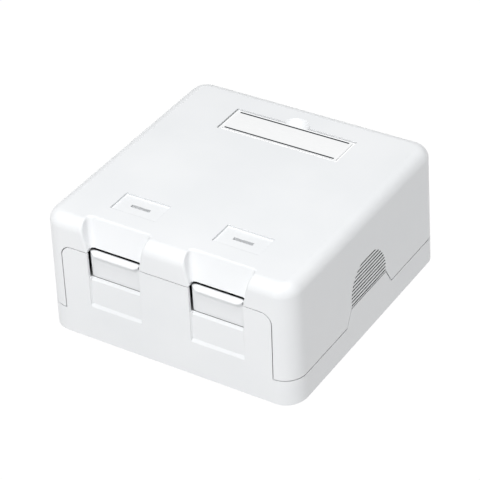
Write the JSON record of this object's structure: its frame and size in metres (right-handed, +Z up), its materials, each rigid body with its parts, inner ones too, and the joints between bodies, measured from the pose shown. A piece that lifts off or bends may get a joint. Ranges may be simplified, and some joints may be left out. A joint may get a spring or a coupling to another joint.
{
  "type": "surface mount jack box",
  "caption": "Low square surface mount jack box with shuttered front ports under scooped hoods, a label window on top and louvred side knock-outs.",
  "frame": {"origin": "centre of the underside, on the surface that the box stands on", "axes": "+Z up through the cover, +Y towards the back, -Y through the ports, +X to the right seen from the front"},
  "size_m": [0.067, 0.0684, 0.032],
  "materials": {
    "housing_plastic": "satin moulded white ABS",
    "shutter_plastic": "satin moulded white ABS",
    "clear_plastic": "clear polished polycarbonate",
    "card": "smooth white card",
    "steel": "zinc plated steel",
    "spring_steel": "bright spring wire",
    "jack_plastic": "black moulded plastic",
    "block_plastic": "black moulded plastic",
    "cap_plastic": "pale grey moulded plastic",
    "contact_metal": "gold plated spring bronze",
    "board": "green coated circuit board"
  },
  "bodies": {
    "housing": {"base": "housing_plastic", "cover": "housing_plastic", "label_card": "card", "cover_screw": "steel", "jack_housing_left": "jack_plastic", "jack_contacts_left": "contact_metal", "jack_board_left": "board", "wire_block_left": "block_plastic", "wire_blades_left": "contact_metal", "wire_cap_left": "cap_plastic", "jack_housing_right": "jack_plastic", "jack_contacts_right": "contact_metal", "jack_board_right": "board", "wire_block_right": "block_plastic", "wire_blades_right": "contact_metal", "wire_cap_right": "cap_plastic", "shutter_spring_left": "spring_steel", "shutter_spring_right": "spring_steel"},
    "shutter_left": {"shutter_left": "shutter_plastic"},
    "shutter_right": {"shutter_right": "shutter_plastic"},
    "label_window": {"label_window": "clear_plastic"}
  },
  "joints": [
    {"name": "shutter_left_slide", "type": "slide", "parent": "housing", "child": "shutter_left", "axis": [0, 0, -1], "range_m": [0, 0.00615], "stiffness_N_per_m": 60, "springref_m": -0.004, "deforming": ["shutter_spring_left"]},
    {"name": "shutter_right_slide", "type": "slide", "parent": "housing", "child": "shutter_right", "axis": [0, 0, -1], "range_m": [0, 0.00615], "stiffness_N_per_m": 60, "springref_m": -0.004, "deforming": ["shutter_spring_right"]},
    {"name": "label_window_lift", "type": "slide", "parent": "housing", "child": "label_window", "axis": [0, 0, 1], "range_m": [0, 0.012]}
  ]
}
